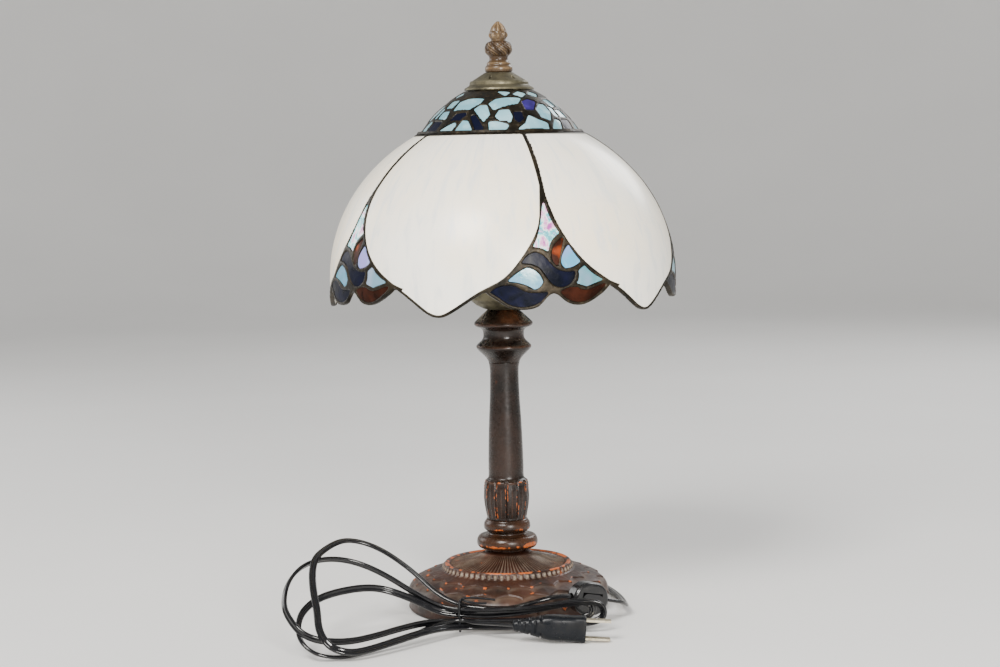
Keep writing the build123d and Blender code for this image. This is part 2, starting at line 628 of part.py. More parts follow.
# ---- write every node ---------------------------------------------------------------------------
def main():
    save(base_casting(), "base_casting")
    save(Pos(0, 0, FELT_THICK / 2) * Cylinder(BASE_RADIUS - 1.5, FELT_THICK), "base_felt")
    save(grommet(), "cord_grommet")
    save(knop(), "column_knop")
    save(shaft(), "column_shaft")
    save(capital(), "column_capital")
    save(tube(ROD_RADIUS, 3.2, ROD_BOTTOM_Z, ROD_TOP_Z), "threaded_rod")
    save(tube(13.0, ROD_BORE, 29.0, 30.5), "base_washer")
    save(hexagon(14.0, ROD_RADIUS, 23.0, 29.0), "base_nut")
    save(socket_cup(), "socket_cup")
    save(hexagon(16.0, ROD_RADIUS, 222.8, SADDLE_Z), "cup_nut")
    save(harp_saddle(), "harp_saddle")
    save(hexagon(14.0, ROD_RADIUS, SADDLE_Z + 1.5, 234.0), "saddle_nut")
    save(harp(), "harp_wire")
    save(harp_stud(), "harp_stud")
    save(ferrule(-1), "harp_ferrule_left")
    save(ferrule(1), "harp_ferrule_right")
    save(socket_cap(), "socket_cap")
    save(tube(13.2, 12.3, 241.0, 284.0), "socket_shell")
    save(insulator(), "socket_insulator")
    save(tube(9.3, SLEEVE_BORE, 259.0, 280.0), "screw_sleeve")
    save(Pos(0, 0, 259.2) * Cylinder(2.4, 2.4), "centre_contact")
    save(bulb_glass(), "bulb_glass")
    save(bulb_mount(), "bulb_filament")
    save(tube(BULB_CAP_R, 7.0, 263.0, 280.0) + Pos(0, 0, 262.6) * Cylinder(7.6, 1.6), "bulb_screw_cap")
    save(Pos(0, 0, BULB_CONTACT_Z + 0.5) * Cylinder(2.6, 1.0), "bulb_contact")
    save(heat_cap(), "heat_cap")
    save(finial(), "finial")
    build_dome()
    build_crown()
    cord(LEAD_IN_ROUTE, "cord_lead_in")
    cord(SWITCH_LINK_ROUTE, "cord_switch_link")
    cord(PLUG_TAIL_ROUTE, "cord_plug_tail")
    save(hank(), "cord_hank")
    save(twist_tie(), "twist_tie")
    save(plug_body(), "plug_body")
    save(plug_blades(), "plug_blades")
    build_switch()


main()
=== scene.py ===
"""Leaded-glass table lamp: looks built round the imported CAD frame. Lengths in the tables are millimetres."""
import math

import bpy
import numpy as np
from mathutils import Matrix, Vector


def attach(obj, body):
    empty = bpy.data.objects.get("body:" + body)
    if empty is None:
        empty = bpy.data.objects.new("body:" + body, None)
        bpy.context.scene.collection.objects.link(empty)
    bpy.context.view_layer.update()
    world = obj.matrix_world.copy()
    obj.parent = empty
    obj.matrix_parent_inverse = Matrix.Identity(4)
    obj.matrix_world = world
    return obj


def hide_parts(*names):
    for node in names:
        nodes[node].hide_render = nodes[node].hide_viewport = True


MM = 0.001
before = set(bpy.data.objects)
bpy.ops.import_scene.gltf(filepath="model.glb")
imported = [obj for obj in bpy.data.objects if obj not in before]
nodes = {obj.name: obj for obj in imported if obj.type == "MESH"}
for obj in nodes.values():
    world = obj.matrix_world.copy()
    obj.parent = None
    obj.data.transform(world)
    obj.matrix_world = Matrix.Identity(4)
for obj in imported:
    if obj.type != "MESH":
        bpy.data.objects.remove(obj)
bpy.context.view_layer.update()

STAND = "stand"
SHADE = "shade"


# ---- procedural looks ---------------------------------------------------------------------------
class Look:
    """One procedural material while its nodes are being laid."""

    def __init__(self, name, **sockets):
        self.material = bpy.data.materials.new(name)
        self.material.use_nodes = True
        self.tree = self.material.node_tree
        self.shader = self.tree.nodes["Principled BSDF"]
        for socket, value in sockets.items():
            self.shader.inputs[socket.replace("_", " ")].default_value = value
        self.place = self.add("ShaderNodeTexCoord").outputs["Object"]

    def add(self, kind, **settings):
        node = self.tree.nodes.new(kind)
        for key, value in settings.items():
            setattr(node, key, value)
        return node

    def put(self, source, socket):
        """Link an output to a socket, or set the socket to a plain value."""
        if isinstance(source, bpy.types.NodeSocket):
            self.tree.links.new(source, socket)
        else:
            socket.default_value = source

    def math(self, operation, a, b=0.0):
        node = self.add("ShaderNodeMath", operation=operation)
        self.put(a, node.inputs[0])
        self.put(b, node.inputs[1])
        return node.outputs[0]

    def stretched(self, x, y, z):
        node = self.add("ShaderNodeMapping")
        self.put(self.place, node.inputs["Vector"])
        node.inputs["Scale"].default_value = (x, y, z)
        return node.outputs[0]

    def round_axis(self, climb):
        """Coordinates that run round the lamp's axis without a seam, and up it by climb."""
        parts = self.add("ShaderNodeSeparateXYZ")
        self.put(self.place, parts.inputs[0])
        x, y, z = parts.outputs
        radius = self.math("SQRT", self.math("ADD", self.math("MULTIPLY", x, x), self.math("MULTIPLY", y, y)))
        joined = self.add("ShaderNodeCombineXYZ")
        self.put(self.math("DIVIDE", x, radius), joined.inputs[0])
        self.put(self.math("DIVIDE", y, radius), joined.inputs[1])
        self.put(self.math("MULTIPLY", z, climb), joined.inputs[2])
        return joined.outputs[0]

    def noise(self, scale, detail=3.0, place=None, roughness=0.5, distortion=0.0):
        node = self.add("ShaderNodeTexNoise")
        self.put(place or self.place, node.inputs["Vector"])
        node.inputs["Scale"].default_value = scale
        node.inputs["Detail"].default_value = detail
        node.inputs["Roughness"].default_value = roughness
        node.inputs["Distortion"].default_value = distortion
        return node.outputs["Fac"]

    def ramp(self, value, *stops):
        """Colour, or a grey number, by value: stops of (place, colour)."""
        node = self.add("ShaderNodeValToRGB")
        elements = node.color_ramp.elements
        while len(elements) < len(stops):
            elements.new(0.5)
        for element, (where, colour) in zip(elements, stops):
            element.position = where
            element.color = (colour, colour, colour, 1) if isinstance(colour, float) else (*colour, 1)
        self.put(value, node.inputs[0])
        return node.outputs[0]

    def mix(self, amount, a, b, how="MIX"):
        node = self.add("ShaderNodeMix", data_type="RGBA", blend_type=how)
        for source, socket in ((amount, node.inputs[0]), (a, node.inputs[6]), (b, node.inputs[7])):
            self.put((*source, 1) if isinstance(source, tuple) else source, socket)
        return node.outputs[2]

    def mask(self, name):
        return self.add("ShaderNodeAttribute", attribute_name=name).outputs["Fac"]

    def colour(self, source):
        self.put(source, self.shader.inputs["Base Color"])

    def rough(self, source):
        self.put(source, self.shader.inputs["Roughness"])

    def bump(self, height, depth, strength=1.0):
        node = self.add("ShaderNodeBump")
        node.inputs["Distance"].default_value = depth
        node.inputs["Strength"].default_value = strength
        self.put(height, node.inputs["Height"])
        self.put(node.outputs[0], self.shader.inputs["Normal"])


def opal_look():
    look = Look("opal_white", Specular_IOR_Level=0.5)
    streaks = look.noise(20, 4, look.round_axis(2.2), distortion=0.4)
    clouds = look.noise(12, 2)
    white = look.mix(look.ramp(clouds, (0.38, 0.0), (0.66, 1.0)), (0.97, 0.94, 0.85), (0.98, 0.88, 0.69))
    look.colour(look.mix(look.ramp(streaks, (0.50, 0.0), (0.72, 0.8)), white, (0.76, 0.78, 0.75)))
    look.rough(look.ramp(clouds, (0.3, 0.22), (0.8, 0.32)))
    look.bump(look.noise(45, 2), 0.0008, 0.3)
    return look.material


def pale_look(name, base, second, streak, scale=60.0):
    look = Look(name, Specular_IOR_Level=0.45, Coat_Weight=0.12, Coat_Roughness=0.1)
    flow = look.noise(scale, 5, look.stretched(1, 1, 0.45), roughness=0.6, distortion=0.8)
    tint = look.mix(look.ramp(look.noise(40, 2), (0.42, 0.0), (0.60, 1.0)), base, second)
    look.colour(look.mix(look.ramp(flow, (0.5, 0.0), (0.70, 0.55)), tint, streak))
    look.rough(look.ramp(flow, (0.3, 0.10), (0.8, 0.22)))
    look.bump(look.noise(180, 2), 0.0005, 0.35)
    return look.material


def shimmer_look():
    """Clear pale glass with the rainbow patches of an iridised face."""
    look = Look("iridescent_kite", Specular_IOR_Level=0.6, Coat_Weight=0.2, Coat_Roughness=0.08)
    patch = look.noise(150, 4, look.stretched(1, 1, 0.5), roughness=0.6, distortion=0.4)
    look.colour(look.ramp(patch, (0.37, (0.40, 0.08, 0.34)), (0.44, (0.76, 0.34, 0.60)),
                          (0.49, (0.84, 0.88, 0.88)), (0.54, (0.20, 0.64, 0.68)),
                          (0.60, (0.04, 0.34, 0.42)), (0.67, (0.74, 0.58, 0.82))))
    look.rough(look.ramp(patch, (0.3, 0.08), (0.8, 0.2)))
    look.bump(look.noise(200, 2), 0.0005, 0.4)
    return look.material


def dark_glass_look(name, deep, lit, haze, amount, low=None):
    """Dark glass with hazy patches; low is its colour below a height of about 0.366 m."""
    look = Look(name, Specular_IOR_Level=0.08)
    swirl = look.noise(75, 4, distortion=1.0)
    body = look.mix(look.ramp(swirl, (0.38, 0.0), (0.66, 1.0)), deep, lit)
    patches = look.ramp(look.noise(34, 3), (0.56, 0.0), (0.70, amount))
    tint = look.mix(patches, body, haze)
    if low is not None:
        height = look.add("ShaderNodeSeparateXYZ")
        look.put(look.place, height.inputs[0])
        level = look.ramp(look.math("MULTIPLY", height.outputs[2], 2.0), (0.7320, 0.0), (0.7340, 1.0))
        tint = look.mix(level, low, tint)
    look.colour(tint)
    look.rough(look.ramp(swirl, (0.3, 0.24), (0.8, 0.40)))
    look.bump(look.noise(220, 2), 0.0005, 0.4)
    return look.material


def solder_look():
    look = Look("solder_bronze", Metallic=0.55, Specular_IOR_Level=0.3)
    broad = look.noise(70, 3)
    fine = look.noise(420, 3)
    tone = look.ramp(broad, (0.36, (0.006, 0.005, 0.003)), (0.56, (0.018, 0.014, 0.008)),
                     (0.76, (0.045, 0.034, 0.020)))
    # Pale flecks from the fine noise are painted highlight.
    look.colour(look.mix(look.ramp(fine, (0.56, 0.0), (0.76, 0.6)), tone, (0.10, 0.072, 0.042)))
    look.rough(look.ramp(fine, (0.3, 0.30), (0.75, 0.55)))
    look.bump(look.noise(260, 3), 0.0006, 0.5)
    return look.material


def patina_look(name, deep, mid, pale, worn, gloss, grit=0.0006):
    """Antique coating: dark in the hollows; pale on the relief, partly dry-brushed paint and partly painted
    highlight; worn through on edges.
    """
    look = Look(name, Specular_IOR_Level=0.3, Coat_Weight=0.08, Coat_Roughness=0.3)
    cloud = look.noise(45, 4)
    grain = look.noise(380, 3)
    body = look.mix(look.ramp(cloud, (0.36, 0.0), (0.66, 1.0)), deep, mid)
    # The pale mask from the relief: partly dry-brushed paint, partly painted highlight and sheen.
    rubbed_and_sheen = look.math("MULTIPLY", look.mask("rub_and_sheen"), look.ramp(look.noise(150, 4), (0.30, 0.25), (0.62, 1.0)))
    body = look.mix(rubbed_and_sheen, body, pale)
    ragged = look.math("MULTIPLY", look.math("SUBTRACT", look.noise(190, 5), 0.5), 1.3)
    torn = look.math("ADD", look.mask("wear"), ragged)
    flecks = look.ramp(look.noise(95, 5, roughness=0.65), (0.66, 0.0), (0.70, 0.9))
    flecks = look.math("MULTIPLY", flecks, look.mask("fleck"))
    look.colour(look.mix(look.math("MAXIMUM", look.ramp(torn, (0.48, 0.0), (0.62, 1.0)), flecks), body, worn))
    look.rough(look.ramp(grain, (0.3, gloss), (0.75, gloss + 0.2)))
    look.bump(look.math("ADD", look.math("MULTIPLY", grain, 0.4), look.noise(120, 4)), grit, 0.5)
    return look.material


def metal_look(name, colour, stain, rough, scale=160.0, metallic=1.0):
    look = Look(name, Metallic=metallic)
    spots = look.noise(scale, 4)
    look.colour(look.mix(look.ramp(spots, (0.42, 0.0), (0.68, 1.0)), colour, stain))
    look.rough(look.ramp(look.noise(scale * 2, 3), (0.3, rough), (0.75, rough + 0.22)))
    look.bump(look.noise(scale * 2.5, 3), 0.0002, 0.35)
    return look.material


def moulded_look(name, colour, scuff_and_sheen, rough, amount, grain_depth=0.0002, specular=0.5):
    look = Look(name, Specular_IOR_Level=specular)
    rub_and_sheen = look.noise(120, 5, roughness=0.6)
    look.colour(look.mix(look.ramp(rub_and_sheen, (0.50, 0.0), (0.74, amount)), colour, scuff_and_sheen))
    look.rough(look.ramp(rub_and_sheen, (0.35, rough), (0.8, rough + 0.22)))
    look.bump(look.noise(900, 2), grain_depth, 0.4)
    return look.material


def felt_look():
    look = Look("felt_dark", Sheen_Weight=0.5)
    fibre = look.noise(1500, 4)
    look.colour(look.ramp(fibre, (0.3, (0.012, 0.020, 0.013)), (0.75, (0.045, 0.060, 0.045))))
    look.rough(look.ramp(fibre, (0.3, 0.85), (0.8, 1.0)))
    look.bump(fibre, 0.0005, 0.7)
    return look.material


WHITE = opal_look()
SKY = pale_look("pale_sky", (0.04, 0.29, 0.38), (0.19, 0.34, 0.52), (0.48, 0.72, 0.75))
MIST = pale_look("pale_mist", (0.09, 0.27, 0.31), (0.21, 0.28, 0.40), (0.34, 0.50, 0.52))
LILAC = pale_look("pale_lilac", (0.09, 0.34, 0.54), (0.28, 0.26, 0.60), (0.42, 0.62, 0.76))
CROWN_BLUE = pale_look("crown_pale", (0.15, 0.35, 0.42), (0.25, 0.45, 0.52), (0.42, 0.62, 0.66), 110.0)
KITE = shimmer_look()
COBALT = dark_glass_look("dark_cobalt", (0.002, 0.003, 0.007), (0.003, 0.004, 0.018),
                         (0.028, 0.030, 0.030), 0.25)
VIOLET = dark_glass_look("dark_violet", (0.010, 0.007, 0.050), (0.036, 0.022, 0.17), (0.05, 0.04, 0.20), 0.3,
                         (0.003, 0.004, 0.014))
AMBER = dark_glass_look("dark_amber", (0.012, 0.004, 0.002), (0.035, 0.009, 0.004),
                        (0.46, 0.075, 0.015), 0.75)
SOLDER = solder_look()
BASE_COAT = patina_look("patina_base", (0.011, 0.004, 0.002), (0.044, 0.014, 0.006), (0.25, 0.195, 0.145),
                        (0.36, 0.080, 0.014), 0.34)
STEM_COAT = patina_look("patina_stem", (0.006, 0.004, 0.003), (0.021, 0.010, 0.006), (0.12, 0.046, 0.020),
                        (0.34, 0.080, 0.016), 0.20, 0.0003)
FOOT_COAT = patina_look("patina_foot", (0.013, 0.006, 0.003), (0.044, 0.017, 0.007), (0.09, 0.040, 0.020),
                        (0.36, 0.080, 0.014), 0.20, 0.0002)
COPPER = patina_look("finial_copper", (0.014, 0.008, 0.004), (0.050, 0.028, 0.013), (0.25, 0.165, 0.085),
                     (0.30, 0.120, 0.045), 0.20)
DULL_BRASS = metal_look("dull_brass", (0.135, 0.120, 0.074), (0.058, 0.052, 0.033), 0.42, metallic=0.75)
BRASS = metal_look("lacquered_brass", (0.62, 0.44, 0.18), (0.44, 0.30, 0.12), 0.22)
ZINC = metal_look("zinc_plate", (0.55, 0.55, 0.56), (0.36, 0.36, 0.37), 0.30)
NICKEL = metal_look("worn_nickel", (0.66, 0.60, 0.46), (0.42, 0.36, 0.25), 0.28, 300.0)
ALUMINIUM = metal_look("spun_aluminium", (0.78, 0.78, 0.78), (0.6, 0.6, 0.6), 0.25)
GLOSS_BLACK = moulded_look("switch_black", (0.008, 0.008, 0.009), (0.045, 0.042, 0.038), 0.08, 0.35)
MATT_BLACK = moulded_look("plug_black", (0.016, 0.017, 0.021), (0.085, 0.085, 0.09), 0.38, 0.6)
# Its brownish scuff flecks are partly painted highlight.
PLUG_BLACK = moulded_look("plug_rubber", (0.004, 0.005, 0.007), (0.030, 0.026, 0.020), 0.24, 0.3,
                          specular=0.22)
CORD_BLACK = moulded_look("cord_black", (0.004, 0.004, 0.005), (0.02, 0.02, 0.02), 0.05, 0.3, 0.0001)
PORCELAIN = moulded_look("porcelain", (0.80, 0.78, 0.72), (0.62, 0.58, 0.50), 0.15, 0.4)
BULB_WHITE = moulded_look("bulb_frost", (0.84, 0.84, 0.81), (0.76, 0.76, 0.73), 0.22, 0.4)
FELT = felt_look()

NODE_LOOKS = {
    SKY: ["glass_light_left_leaf"],
    MIST: ["glass_light_triangle"],
    LILAC: ["glass_light_teardrop"],
    KITE: ["glass_light_kite"],
    CROWN_BLUE: ["crown_glass_light_lower", "crown_glass_light_middle", "crown_glass_light_upper"],
    COBALT: ["glass_blue_crescent", "glass_blue_s_leaf"],
    VIOLET: ["crown_glass_blue"],
    AMBER: ["glass_brown_crescent", "glass_brown_feather"],
    WHITE: [f"petal_glass_{n}" for n in range(1, 6)],
    DULL_BRASS: ["heat_cap", "socket_cup", "harp_saddle", "harp_wire", "harp_ferrule_left",
                 "harp_ferrule_right", "harp_stud"],
    BRASS: ["socket_cap", "socket_shell", "screw_sleeve", "centre_contact"],
    ZINC: ["base_nut", "base_washer", "threaded_rod", "cup_nut", "saddle_nut", "bulb_filament",
           "bulb_contact"],
    NICKEL: ["plug_blades"],
    ALUMINIUM: ["bulb_screw_cap"],
    GLOSS_BLACK: ["switch_front_shell", "switch_rear_shell", "switch_rocker"],
    MATT_BLACK: ["cord_grommet"],
    PORCELAIN: ["socket_insulator"],
    BULB_WHITE: ["bulb_glass"],
}


def dress(obj, look):
    obj.data.materials.clear()
    obj.data.materials.append(look)


for look_used, names in NODE_LOOKS.items():
    for node_name in names:
        dress(nodes[node_name], look_used)


# ---- mesh making --------------------------------------------------------------------------------
def mesh_object(name, verts, faces, look):
    mesh = bpy.data.meshes.new(name)
    mesh.from_pydata([tuple(p) for p in verts], [], faces)
    mesh.polygons.foreach_set("use_smooth", [True] * len(mesh.polygons))
    mesh.update()
    obj = bpy.data.objects.new(name, mesh)
    bpy.context.scene.collection.objects.link(obj)
    obj.data.materials.append(look)
    return obj


def wrap(rows, around, ring):
    """Quads between rows of points, each row closed; ring closes the last row onto the first."""
    faces = []
    for row in range(rows if ring else rows - 1):
        below = (row + 1) % rows
        for n in range(around):
            beside = (n + 1) % around
            faces.append((row * around + n, below * around + n,
                          below * around + beside, row * around + beside))
    return faces


def smooth_line(points, step):
    """Points every step along a smooth curve through the given ones."""
    points = np.array(points, float)
    lengths = np.concatenate([[0], np.cumsum(np.linalg.norm(np.diff(points, axis=0), axis=1))])
    slopes = np.empty_like(points)
    for n in range(len(points)):
        low, high = max(n - 1, 0), min(n + 1, len(points) - 1)
        slopes[n] = (points[high] - points[low]) / (lengths[high] - lengths[low])
    out = []
    for s in np.linspace(0, lengths[-1], max(2, int(lengths[-1] / step) + 1)):
        n = min(int(np.searchsorted(lengths, s, "right")) - 1, len(points) - 2)
        span = lengths[n + 1] - lengths[n]
        t = (s - lengths[n]) / span
        out.append((2 * t**3 - 3 * t**2 + 1) * points[n] + (t**3 - 2 * t**2 + t) * span * slopes[n]
                   + (3 * t**2 - 2 * t**3) * points[n + 1] + (t**3 - t**2) * span * slopes[n + 1])
    return out


def lathe(name, outside, bore, around, relief, look, step=0.6):
    """Turned casting: a smooth outside with relief, closed by the plain corners of its bore.

    relief(azimuth, radius, height, run) gives how far the surface stands out, and the masks."""
    skin = np.array(smooth_line(outside, step))
    runs = np.concatenate([[0], np.cumsum(np.linalg.norm(np.diff(skin, axis=0), axis=1))])
    slope = np.gradient(skin, axis=0)
    slope /= np.linalg.norm(slope, axis=1)[:, None]
    azimuth = np.arange(around) * 2 * math.pi / around
    verts, masks = [], {"wear": [], "rub_and_sheen": [], "fleck": []}
    for (radius, height), (dr, dz), run in zip(skin, slope, runs):
        lift, marks = relief(azimuth, radius, height, run)
        lift = np.broadcast_to(lift, azimuth.shape)
        r = (radius - dz * lift) * MM
        z = (height + dr * lift) * MM
        verts.append(np.stack([r * np.sin(azimuth), -r * np.cos(azimuth), z], axis=1))
        for key in masks:
            masks[key].append(np.broadcast_to(marks.get(key, 0.0), azimuth.shape))
    for radius, height in bore:
        verts.append(np.stack([radius * MM * np.sin(azimuth), -radius * MM * np.cos(azimuth),
                               np.full(around, height * MM)], axis=1))
        for key in masks:
            masks[key].append(np.zeros(around))
    rows = len(verts)
    obj = mesh_object(name, np.concatenate(verts), wrap(rows, around, True), look)
    for key, values in masks.items():
        attribute = obj.data.attributes.new(key, "FLOAT", "POINT")
        attribute.data.foreach_set("value", np.concatenate(values).astype(np.float32))
    return obj


def hump(distance, width):
    """1 at distance 0, falling smoothly to 0 at width."""
    t = np.clip(1 - np.abs(distance) / width, 0, 1)
    return t * t * (3 - 2 * t)


def rise(value, low, high):
    t = np.clip((value - low) / (high - low), 0, 1)
    return t * t * (3 - 2 * t)


def across_unit(azimuth, count, phase=0.0):
    """Place across one repeat, -0.5 to 0.5."""
    turns = azimuth * count / (2 * math.pi) + phase
    return turns - np.round(turns)


def uneven(azimuth, seed):
    """A slow wobble round the axis, about -1 to 1, without a seam."""
    return (np.sin(azimuth * 5 + seed) + np.sin(azimuth * 11 + 2.3 * seed) + np.sin(azimuth * 23 + 4.1 * seed)
            + 0.7 * np.sin(azimuth * 47 + 1.7 * seed)) / 2.6


def facing(azimuth, middle):
    """Degrees from a direction in the middle, -180 to 180."""
    return (np.degrees(azimuth) - middle + 180) % 360 - 180


# ---- base ---------------------------------------------------------------------------------------
ROD_BORE = 5.3
FLUTES = 96
BEADS = 64
LEAVES = 22
LEAF_ROWS = ((9.0, 0.0), (20.0, 0.5), (31.5, 0.0))
BASE_OUTSIDE = [(8.0, 42.0), (14.0, 41.6), (16.2, 41.0), (20.0, 39.2), (24.0, 37.6), (34.0, 34.6),
                (43.0, 32.6), (44.8, 33.0), (45.8, 33.6), (46.6, 33.2), (47.2, 31.6), (47.8, 29.6),
                (49.6, 28.6), (51.0, 28.3), (57.0, 26.3), (64.8, 23.2), (70.0, 20.2), (73.2, 16.6),
                (74.4, 12.5), (74.7, 8.0), (74.6, 4.0), (74.2, 1.4)]
BASE_BORE = [(74.0, 1.25), (71.0, 1.25), (70.4, 11.0), (66.0, 17.0), (48.0, 24.0), (20.0, 30.5),
             (ROD_BORE, 30.5), (ROD_BORE, 42.0)]
LEAF_START = 49.5   # radius where the scales begin
LEAF_RUN = 49.5     # length along the outside from which the scale rows are measured
WORN_RIM = -11      # degrees round from the front


def base_relief(azimuth, radius, height, run):
    lift = np.zeros_like(azimuth)
    wear = np.zeros_like(azimuth)
    rub_and_sheen = np.zeros_like(azimuth)
    fleck = 0.5
    if radius < 45 and height > 32:
        depth = rise(radius, 16.5, 19.5) * (1 - rise(radius, 42.0, 43.6))
        ridge = 0.5 + 0.5 * np.cos(FLUTES * azimuth)
        lift = lift - 0.95 * depth * (1 - ridge)
        # Pale flute ridges: painted highlight.
        rub_and_sheen = rub_and_sheen + 0.72 * depth * ridge**4 * (0.7 + 0.3 * uneven(azimuth, 1.0))
        wear = wear + 0.9 * rise(radius, 42.6, 44.4) * (0.75 + 0.3 * uneven(azimuth, 2.0))
        fleck = 0.3
    elif height > 31.0:
        wear = wear + 0.72 * rise(height, 31.8, 33.0) * (0.8 + 0.3 * uneven(azimuth, 2.0))
    if 45.5 < radius < 50.5 and height > 27.5:
        bead = hump(across_unit(azimuth, BEADS), 0.42) * hump(math.hypot(radius - 47.9, height - 30.4), 2.5)
        lift = lift + 1.6 * bead
        # Pale beads: painted highlight.
        rub_and_sheen = rub_and_sheen + 1.6 * bead
        wear = wear * (1 - bead)
    if radius > LEAF_START and height > 1.5:
        along = run - LEAF_RUN
        for row, (tip, phase) in enumerate(LEAF_ROWS):
            place = across_unit(azimuth, LEAVES, phase)
            edge = tip - 5.6 * np.abs(2 * place) ** 0.6
            inside = 1 - rise(along, edge - 0.15, edge + 0.55)
            root = tip - 14.0
            climb = np.clip((along - root) / 13.0, 0, 1)
            above = inside * (along > root) if row else inside
            scale = above * (0.35 + 0.95 * climb) + 0.10 * above * hump(place, 0.12)
            lift = np.where(above > 0.02, np.maximum(lift, scale), lift)
            near = hump(along - edge + 0.5, 1.5)
            at_tip = hump(along - tip + 1.3, 2.3) * hump(place, 0.16)
            tip_wear = at_tip * (0.34 + 0.42 * uneven(azimuth, 2.0 + row))
            edge_wear = 0.46 * near * (0.6 + 0.6 * uneven(azimuth, 4.0 + row))
            wear = np.maximum(wear, tip_wear + edge_wear)
            # A pale band just below each scale's edge: painted highlight.
            sheen_under_edge = 0.26 * hump(along - edge - 2.6, 3.8) * (1 - inside)
            rub_and_sheen = np.maximum(rub_and_sheen, sheen_under_edge * (0.7 + 0.4 * uneven(azimuth, row)))
        lift = lift - 0.9
        # A faint pale band round the side, below the second row of tips: painted sheen.
        rub_and_sheen = rub_and_sheen + 0.10 * (1 - rise(np.abs(along - 22), 3.0, 8.0)) * (0.6 + 0.5 * uneven(azimuth, 8.0))
        wear = np.maximum(wear, hump(height - 2.0, 5.0) * hump(facing(azimuth, WORN_RIM), 15))
        fleck = 0.7
    return lift, {"wear": wear, "rub_and_sheen": np.clip(rub_and_sheen, 0, 1), "fleck": fleck}


base = lathe("base_cast", BASE_OUTSIDE, BASE_BORE, 1056, base_relief, BASE_COAT)
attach(base, STAND)
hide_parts("base_casting")


# ---- column -------------------------------------------------------------------------------------
def knop_relief(azimuth, radius, height, run):
    lift = 0.0 * azimuth
    edge = hump(height - 47.2, 2.3) * (radius > 20) + 0.8 * hump(height - 59.2, 2.0) * (radius > 15.5)
    chip = hump(height - 48.6, 2.6) * (radius > 20.5) * hump(facing(azimuth, 52), 26)
    lift = lift - 0.5 * chip * (0.5 + 0.5 * uneven(azimuth * 3, 0.4))
    wear = 0.66 * edge * (0.9 + 0.3 * uneven(azimuth, 3.0)) + 0.95 * chip
    # Pale bands on the upper shoulders of both rings: painted highlight.
    rub_and_sheen = 0.22 * hump(height - 50.6, 2.4) + 0.2 * hump(height - 61.8, 2.0)
    return lift, {"wear": wear, "rub_and_sheen": rub_and_sheen, "fleck": 0.0}


KNOP_OUTSIDE = [(14.6, 42.05), (14.6, 43.4), (20.2, 44.3), (22.2, 46.2), (22.6, 48.8), (22.0, 51.3),
                (20.2, 53.3), (15.0, 54.0), (13.8, 55.4), (15.2, 56.7), (16.9, 58.2), (17.3, 60.8),
                (16.7, 63.2), (15.6, 64.6), (15.2, 65.45)]
knop = lathe("knop_cast", list(reversed(KNOP_OUTSIDE)), [(ROD_BORE, 42.05), (ROD_BORE, 65.45)], 192,
             knop_relief, FOOT_COAT)
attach(knop, STAND)
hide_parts("column_knop")

CUFF_LEAVES = 12


def shaft_relief(azimuth, radius, height, run):
    lift = np.zeros_like(azimuth)
    wear = np.zeros_like(azimuth)
    rub_and_sheen = np.zeros_like(azimuth)
    if height < 96.0:
        place = across_unit(azimuth, CUFF_LEAVES, 0.5)
        top = 95.0 - 30.0 * np.clip(np.abs(place) - 0.30, 0, 1) ** 1.5 * 4
        inside = 1 - rise(height, top - 0.6, top + 0.4)
        rim = (hump(np.abs(place) - 0.40, 0.09) * inside
               + hump(height - top + 0.7, 1.3) * (np.abs(place) < 0.46))
        groove = hump(np.abs(place) - 0.5, 0.075)
        rib = hump(place, 0.07) * rise(height, 66.5, 69.0) * (1 - rise(height, 86.0, 92.0))
        body = (1 - rise(height, 94.4, 95.4))
        lift = -1.0 * (1 - inside) * body - 0.35 * body * (1 - rim) - 0.9 * groove * inside + 0.25 * rib
        wear = 0.78 * rim * (0.62 + 0.4 * uneven(azimuth + height * 0.05, 5.0))
        # Pale rib crests and a pale band at the cuff's top: painted highlight.
        rub_and_sheen = 0.30 * rib + 0.35 * hump(height - 93.6, 1.6)
        lift = lift * rise(height, 65.6, 67.0)
    else:
        lift = lift - 0.05
    return lift, {"wear": wear, "rub_and_sheen": rub_and_sheen, "fleck": 0.12}


SHAFT_OUTSIDE = [(11.5, 182.4), (10.8, 178.0), (10.65, 172.0), (11.15, 155.0), (12.05, 139.0),
                 (12.75, 120.0), (13.1, 104.6), (13.1, 98.4), (13.7, 96.0), (15.7, 94.4), (16.2, 91.5),
                 (16.7, 86.0), (16.85, 82.0), (16.4, 76.5), (15.3, 70.0), (14.4, 65.55)]
shaft = lathe("shaft_cast", SHAFT_OUTSIDE, [(ROD_BORE, 65.55), (ROD_BORE, 182.4)], 360,
              shaft_relief, STEM_COAT)
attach(shaft, STAND)
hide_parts("column_shaft")


def capital_relief(azimuth, radius, height, run):
    # The rims carry orange wear and a painted highlight; the pale patch on the upper cone, facing front-right,
    # is painted sheen.
    rim = hump(height - 211.0, 1.6) * (radius > 19.5) + hump(height - 194.6, 1.5) * (radius > 18.5)
    front_sheen = rise(height, 211.5, 213.5) * hump(facing(azimuth, 20), 50)
    return 0.0, {"wear": 0.30 * rim * (0.8 + 0.4 * uneven(azimuth, 6.0)), "rub_and_sheen": 0.35 * rim + 0.85 * front_sheen,
                 "fleck": 0.12}


CAPITAL_OUTSIDE = [(8.0, 221.55), (11.2, 221.5), (12.6, 220.4), (20.6, 212.9), (21.6, 211.6), (21.6, 210.4),
                   (20.6, 209.2), (17.4, 208.0), (15.6, 206.2), (15.0, 203.5), (15.2, 200.6), (16.4, 198.6),
                   (19.4, 195.8), (20.3, 194.5), (20.1, 193.0), (17.4, 190.0), (13.9, 186.6), (12.1, 184.0),
                   (11.5, 182.55)]
capital = lathe("capital_cast", CAPITAL_OUTSIDE, [(ROD_BORE, 182.55), (ROD_BORE, 221.55)], 192,
                capital_relief, STEM_COAT)
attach(capital, STAND)
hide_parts("column_capital")


